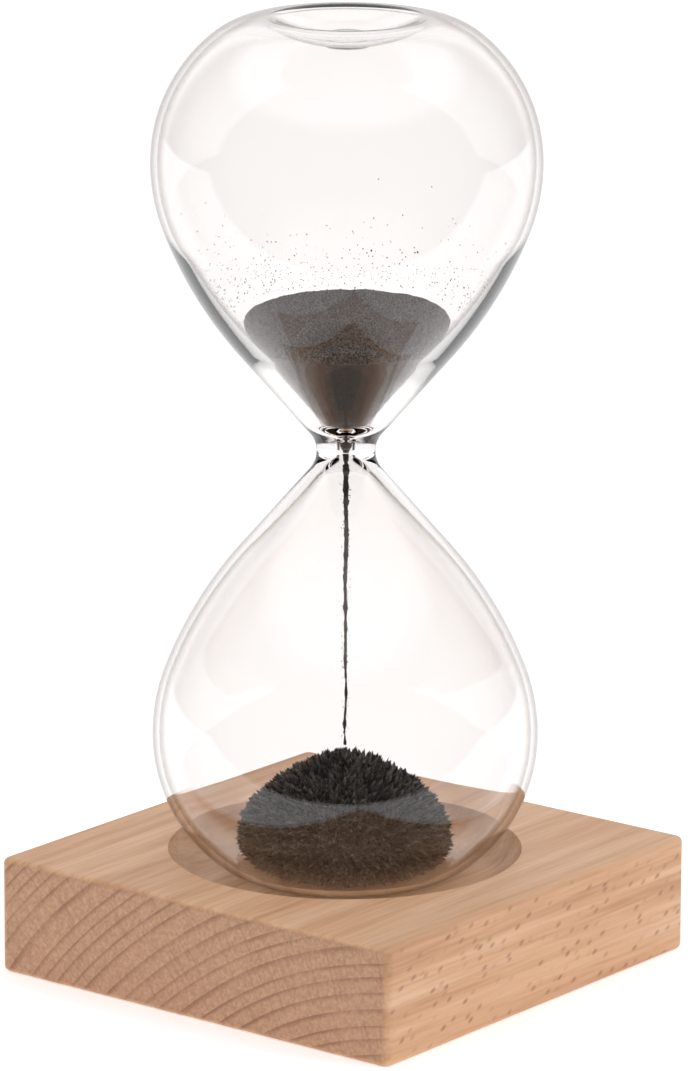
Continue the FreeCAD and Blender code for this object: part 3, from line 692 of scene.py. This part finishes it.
def mound_share(portion):
    """The share that has a portion of the surface above it, so spikes stand evenly thick."""
    areas = [0.0]
    for (rise_a, reach_a), (rise_b, reach_b) in zip(MOUND_SHAPE, MOUND_SHAPE[1:]):
        slope = math.hypot((rise_a - rise_b) * (CORE_TOP - MOUND_FLOOR),
                           (reach_b - reach_a) * CORE_RADIUS)
        areas.append(areas[-1] + slope * (reach_a + reach_b))
    wanted = portion * areas[-1]
    for step, (before, after) in enumerate(zip(areas, areas[1:])):
        if wanted <= after:
            return (step + (wanted - before) / (after - before)) / (len(areas) - 1)
    return 1.0


print(f"mound core {2 * CORE_RADIUS / MM:.1f} mm across")


# %% [markdown]
# The core is closed below, and then planted from the top down. A spike near the glass bends up
# along it, as the real chains do where the bulb leaves them no room.

# %% the mound
SPIKES = 4200
SPIKE_LENGTH = 2.4 * MM
SPIKE_ROOT = 0.5 * MM
SPIKE_SCATTER = 0.42
GOLDEN_ANGLE = math.pi * (3 - math.sqrt(5))


def mound_core(rings=40, turns=96, under=16):
    """The domed core: its flank from the floor up, then its underside from the rim inwards."""
    vertices, faces = [], []
    for ring in range(rings + 1):
        share = 1 - ring / rings
        vertices += [mound_point(2 * math.pi * turn / turns, share) for turn in range(turns)]
    for ring in range(rings):
        for turn in range(turns):
            a = ring * turns + turn
            b = ring * turns + (turn + 1) % turns
            faces.append((a, b, b + turns, a + turns))
    first = len(vertices)
    for ring in range(1, under):
        share = 1 - ring / under
        vertices += [above_glass(Vector((edge.x * share, edge.y * share, 0)))
                     for edge in vertices[:turns]]
    for ring in range(under - 1):
        outer = 0 if ring == 0 else first + (ring - 1) * turns
        inner = first + ring * turns
        for turn in range(turns):
            after = (turn + 1) % turns
            faces.append((outer + after, outer + turn, inner + turn, inner + after))
    faces.append(tuple(first + (under - 2) * turns + turn for turn in range(turns))[::-1])
    return vertices, faces


def build_mound():
    vertices, faces = mound_core()
    centre = Vector((0, 0, MOUND_FLOOR + 2 * MM))
    for index in range(SPIKES):
        root = mound_point(index * GOLDEN_ANGLE, mound_share((index + 0.5) / SPIKES))
        outward = (root - centre).normalized()
        lean = (outward + scatter(SPIKE_SCATTER)).normalized()
        length = SPIKE_LENGTH * chance.uniform(0.5, 1.1)
        width = chance.uniform(0.55, 0.95) * MM
        tip = root + lean * length
        if tip.z < above_glass(tip).z:
            lean = (above_glass(tip) + Vector((0, 0, 0.3 * MM)) - root).normalized()
        if root.z - bulb_floor(math.hypot(root.x, root.y)) < width:
            root = root + Vector((0, 0, width))
        add_spike(vertices, faces, root - lean * SPIKE_ROOT, lean, length, width)
    return mesh_object("bristling_powder_mound", vertices, faces, MATERIALS["mound_powder"])


mound = build_mound()
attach(mound, "lower_powder")
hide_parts("powder_mound")
print("mound", len(mound.data.polygons), "faces")


# %% [markdown]
# ### Falling thread
# The stream is not a rod: grains leave the throat in bunches, so the thread swells and thins, and
# wanders a little as it falls. Stray grains fall beside it, but only below the throat, which has
# no room for them.

# %% the thread
THREAD_FALL = thread_high.z - thread_low.z
BUNCH_LENGTH, CRUMB_LENGTH, WANDER_LENGTH = 1.9 * MM, 0.7 * MM, 9 * MM
WANDER = 0.8 * MM
STRAY_GRAINS = 260
STRAY_SPREAD = 0.35 * MM
THROAT_CLEAR = 5.5 * MM


def along_fall(seed, z, length):
    """Smooth noise along the fall; another seed gives another course."""
    return noise(Vector((seed, 0, z / length)))


def build_thread():
    vertices, faces = [], []
    rings, turns = 420, 8
    for ring in range(rings + 1):
        share = ring / rings
        z = thread_high.z - THREAD_FALL * share
        core = (0.34 * (1 - share) ** 1.6 + 0.2) * MM
        clump = 0.45 + 0.7 * share
        bunch = 1 + clump * along_fall(0, z, BUNCH_LENGTH) + 0.3 * along_fall(3, z, CRUMB_LENGTH)
        wander = WANDER * share * along_fall(7, z, WANDER_LENGTH)
        for turn in range(turns):
            angle = 2 * math.pi * turn / turns + ring * 0.35
            radius = core * bunch * (1 + 0.35 * noise(Vector((turn * 1.7, 5, z / (0.5 * MM)))))
            vertices.append(Vector((radius * math.cos(angle) + wander, radius * math.sin(angle), z)))
    for ring in range(rings):
        for turn in range(turns):
            a = ring * turns + turn
            b = ring * turns + (turn + 1) % turns
            faces.append((a, a + turns, b + turns, b))
    faces.append(tuple(range(turns)))
    faces.append(tuple(rings * turns + turn for turn in range(turns))[::-1])
    for _ in range(STRAY_GRAINS):
        fallen = THROAT_CLEAR + (THREAD_FALL - THROAT_CLEAR - MM) * chance.random()
        aside, ahead = chance.gauss(0, STRAY_SPREAD), chance.gauss(0, STRAY_SPREAD)
        add_grain(vertices, faces, Vector((aside, ahead, thread_high.z - fallen)),
                  chance.uniform(0.08, 0.16) * MM)
    return mesh_object("falling_powder_thread", vertices, faces, MATERIALS["mound_powder"])


thread = build_thread()
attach(thread, "lower_powder")
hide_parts("powder_stream")
print(f"thread {THREAD_FALL / MM:.1f} mm long, {STRAY_GRAINS} stray grains")


# %% [markdown]
# ### Waiting heap
# Above the waist the powder is out of the magnet's reach and lies as loose sand does. It fills
# the funnel, and its top is rough with grains. The far side stands a little higher, because the
# glass was set down with a tilt.

# %% the heap
HEAP_TILT = Vector((-0.52, 0.854, 0))
HEAP_LEVEL = heap_high.z - NECK_Z - 2.5 * MM
HEAP_RISE = 1.1 * MM
CLEAR = 0.12 * MM
HEAP_GRAINS = 9000
# The powder in the throat: height above the neck and radius. Below the bowl it thins to a trickle,
# and under that it hangs as a bead, because the magnet draws it out of the throat.
THROAT_POWDER = [(0.3, 0.45), (0.9, 0.6), (1.5, 0.8), (2.1, 1.0), (3.0, 1.0), (3.3, 0.75),
                 (3.4, 0.3), (4.3, 0.25), (4.5, 0.6)]


def heap_top(x, y):
    """Height above the neck of the heap's rough top."""
    tilt = HEAP_RISE * (HEAP_TILT.x * x + HEAP_TILT.y * y) / heap_high.x
    rough = 0.16 * MM * noise(Vector((x, y, 0)) / (2.5 * MM))
    return HEAP_LEVEL + tilt + rough


def heap_reach(height):
    """Radius of the powder at a height above the neck."""
    wall = max(radius_at(INSIDE, height) - CLEAR, 0.25 * MM)
    for (low, reach_low), (high, reach_high) in zip(THROAT_POWDER, THROAT_POWDER[1:]):
        if low * MM <= height <= high * MM:
            part = (height / MM - low) / (high - low)
            return min(wall, (reach_low + (reach_high - reach_low) * part) * MM)
    return wall


def rim_height(angle):
    """Height above the neck where the heap's tilted top meets the glass, found in three steps."""
    height = heap_high.z - NECK_Z
    for _ in range(3):
        reach = radius_at(INSIDE, height) - CLEAR
        height = heap_top(reach * math.cos(angle), reach * math.sin(angle))
    return height


def heap_solid(turns=128, levels=110, rings=40):
    """The flank from the throat up, closed below, then the top from the rim inwards."""
    vertices, faces = [], []
    low = heap_low.z - NECK_Z
    for level in range(levels + 1):
        share = (level / levels) ** 1.5
        for turn in range(turns):
            angle = 2 * math.pi * turn / turns
            height = low + (rim_height(angle) - low) * share
            reach = heap_reach(height)
            vertices.append(Vector((reach * math.cos(angle), reach * math.sin(angle),
                                    NECK_Z + height)))
    for level in range(levels):
        for turn in range(turns):
            a = level * turns + turn
            b = level * turns + (turn + 1) % turns
            faces.append((a, b, b + turns, a + turns))
    faces.append(tuple(range(turns))[::-1])
    rim = levels * turns
    first = len(vertices)
    for ring in range(1, rings):
        share = 1 - ring / rings
        for turn in range(turns):
            edge = vertices[rim + turn]
            x, y = edge.x * share, edge.y * share
            vertices.append(Vector((x, y, NECK_Z + heap_top(x, y))))
    for ring in range(rings - 1):
        for turn in range(turns):
            outer = rim if ring == 0 else first + (ring - 1) * turns
            inner = first + ring * turns
            after = (turn + 1) % turns
            faces.append((outer + turn, outer + after, inner + after, inner + turn))
    inner = first + (rings - 2) * turns
    faces.append(tuple(inner + turn for turn in range(turns)))
    return vertices, faces, vertices[rim:rim + turns]


def build_heap():
    vertices, faces, rim = heap_solid()
    for _ in range(HEAP_GRAINS):
        angle = chance.uniform(0, 2 * math.pi)
        nearest = rim[int(angle / (2 * math.pi) * len(rim)) % len(rim)]
        edge = math.hypot(nearest.x, nearest.y) - 0.15 * MM
        reach = edge * math.sqrt(chance.random())
        x, y = reach * math.cos(angle), reach * math.sin(angle)
        add_grain(vertices, faces, Vector((x, y, NECK_Z + heap_top(x, y))),
                  chance.uniform(0.12, 0.26) * MM)
    return mesh_object("waiting_powder_heap", vertices, faces, MATERIALS["heap_powder"])


heap = build_heap()
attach(heap, "upper_powder_heap")
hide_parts("upper_powder")
print("heap", len(heap.data.polygons), "faces")


# %% [markdown]
# ### Grains left on the glass
# As the level falls, static holds single grains to the wall above it. They belong to the glass
# now and turn over with it.

# %% clinging grains
CLINGING_GRAINS = 600


def build_clinging_grains():
    vertices, faces = [], []
    for _ in range(CLINGING_GRAINS):
        height = HEAP_LEVEL + 1.5 * MM + abs(chance.gauss(0, 5.5)) * MM
        angle = math.atan2(HEAP_TILT.y, HEAP_TILT.x) + chance.gauss(0.3, 1.1)
        reach = radius_at(INSIDE, height) - 0.12 * MM
        add_grain(vertices, faces, Vector((reach * math.cos(angle), reach * math.sin(angle),
                                           NECK_Z + height)), chance.uniform(0.09, 0.2) * MM)
    return mesh_object("grains_clinging_to_glass", vertices, faces, MATERIALS["heap_powder"])


clinging = build_clinging_grains()
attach(clinging, "glass")
print(CLINGING_GRAINS, "grains on the glass")

# %% [markdown]
# ## Camera
# The camera stands a little above the glass and looks down at it along the diagonal of the block,
# from 1.2 m away with a long lens, which keeps the verticals straight.

# %% camera
AZIMUTH, ELEVATION, ROLL = 38.17, 14.3, 0.17
DISTANCE = 13.827 * BLOCK_SIDE
AIM_UP, AIM_SIDE = 0.637 * BLOCK_SIDE, 0.0014 * BLOCK_SIDE
LENS, SENSOR = 226.9, 36.0
azimuth, elevation, roll = (math.radians(angle) for angle in (AZIMUTH, ELEVATION, ROLL))
towards = Vector((math.sin(azimuth), -math.cos(azimuth), 0))
level = Vector((math.cos(azimuth), math.sin(azimuth), 0))
back = towards * math.cos(elevation) + Vector((0, 0, math.sin(elevation)))
upward = back.cross(level)
right = math.cos(roll) * level + math.sin(roll) * upward
up = -math.sin(roll) * level + math.cos(roll) * upward
stand = Vector((0, 0, BLOCK_TOP)) + back * DISTANCE + right * AIM_SIDE + up * AIM_UP
camera_data = bpy.data.cameras.new("studio_camera")
camera_data.sensor_width = SENSOR
camera_data.lens = LENS
camera = bpy.data.objects.new("studio_camera", camera_data)
camera.matrix_world = Matrix((
    (right.x, up.x, back.x, stand.x), (right.y, up.y, back.y, stand.y),
    (right.z, up.z, back.z, stand.z), (0, 0, 0, 1)))
bpy.context.scene.collection.objects.link(camera)
bpy.context.scene.camera = camera
print(f"camera {DISTANCE:.2f} m away")

# %% [markdown]
# ## Studio
# Clear glass shows what surrounds it. Glassware is best shown in a bright field: a white backdrop
# behind it, a white table under it, and a dark room on the camera's side. The backdrop makes the
# glass clear, and the dark room is what the glass mirrors. The table ends a hand's breadth in front
# of the block, so the belly of the lower bulb mirrors first the wood, then a band of white table,
# then the dark room.

# %% table
TABLE_FRONT, TABLE_REACH = 98 * MM, 3.0


def build_table():
    corners = [towards * ahead + level * aside for ahead, aside in (
        (TABLE_FRONT, -TABLE_REACH), (TABLE_FRONT, TABLE_REACH),
        (-TABLE_REACH, TABLE_REACH), (-TABLE_REACH, -TABLE_REACH))]
    # The paper glows faintly: painted light that lifts it to white and washes out the block's soft
    # shadow on it.
    material, tree, shader = new_material("faintly_glowing_paper_sweep", Roughness=0.9,
                                          Emission_Color=(1.0, 1.0, 1.0, 1.0),
                                          Emission_Strength=0.34)
    fine = noise_over(tree, place(tree), 900.0)
    tree.links.new(ramp(tree, fine, [(0.3, "fbfbfb"), (0.7, "fefefe")]),
                   shader.inputs["Base Color"])
    return mesh_object("glowing_paper_table", corners, [(0, 1, 2, 3)], material)


build_table()
print(f"table from {TABLE_FRONT / MM:.0f} mm in front")

# %% [markdown]
# What the glass mirrors depends on the direction: white over the backdrop and the ceiling, a dark
# warm grey on the camera's side. A ray that was never mirrored finds white paper on every side, so
# the object can be viewed from all around. Matt surfaces get an even light instead, so the wood is
# lit softly, as by large panels that the glass doesn't mirror.

# %% world
BACKDROP, DARK_ROOM, EVEN_LIGHT = 1.05, (0.1, 0.092, 0.085, 1.0), 0.77
BACKDROP_EDGE = (0.62, 0.82)
CEILING_EDGE = (0.55, 0.75)

world = bpy.data.worlds.new("bright_field_studio")
bpy.context.scene.world = world
world.use_nodes = True
sky = world.node_tree
room = sky.nodes["Background"]
gaze = add(sky, "ShaderNodeTexCoord").outputs["Generated"]
away = add(sky, "ShaderNodeVectorMath", {0: gaze, 1: tuple(-towards)},
           operation="DOT_PRODUCT").outputs["Value"]
high = add(sky, "ShaderNodeVectorMath", {0: gaze, 1: (0, 0, 1)},
           operation="DOT_PRODUCT").outputs["Value"]
bright = [map_range(sky, value, *edge, kind="SMOOTHSTEP")
          for value, edge in ((away, BACKDROP_EDGE), (high, CEILING_EDGE))]
paper = (BACKDROP, BACKDROP * 0.99, BACKDROP * 0.985, 1.0)
around_us = mix_colour(sky, math_node(sky, "MAXIMUM", *bright), DARK_ROOM, paper)
path = add(sky, "ShaderNodeLightPath").outputs
mirrored = math_node(sky, "GREATER_THAN", path["Glossy Depth"], 0.5)
shown = mix_colour(sky, mirrored, paper, around_us)
sky.links.new(mix_colour(sky, path["Is Diffuse Ray"], shown, (EVEN_LIGHT,) * 3 + (1.0,)),
              room.inputs["Color"])
bpy.context.scene.view_settings.view_transform = "Standard"
print("backdrop", BACKDROP, "even light", EVEN_LIGHT)


# %% [markdown]
# Two soft boxes give the wood its shape: a strong one on the right for the long side, and a weaker
# one on the left, so the sawn end stays darker. The glass mirrors neither of them.

# %% lights
def soft_box(name, turn, height, distance, size, power):
    """An area light aimed at the middle of the glass, turn degrees to the right of the camera."""
    light = bpy.data.lights.new(name, "AREA")
    light.shape = "RECTANGLE"
    light.size, light.size_y = size
    light.energy = power
    angle = azimuth + math.radians(turn)
    thing = bpy.data.objects.new(name, light)
    thing.location = (math.sin(angle) * distance, -math.cos(angle) * distance, height)
    aim = Vector((0, 0, NECK_Z * 0.6)) - thing.location
    thing.rotation_euler = aim.to_track_quat("-Z", "Y").to_euler()
    bpy.context.scene.collection.objects.link(thing)
    thing.visible_glossy = False
    thing.visible_transmission = False


soft_box("right_soft_box", 70, 0.75, 0.9, (0.35, 0.6), 2.4)
soft_box("left_soft_box", -80, 0.7, 0.9, (0.3, 0.6), 1.1)

# %% finish
bpy.context.view_layer.update()
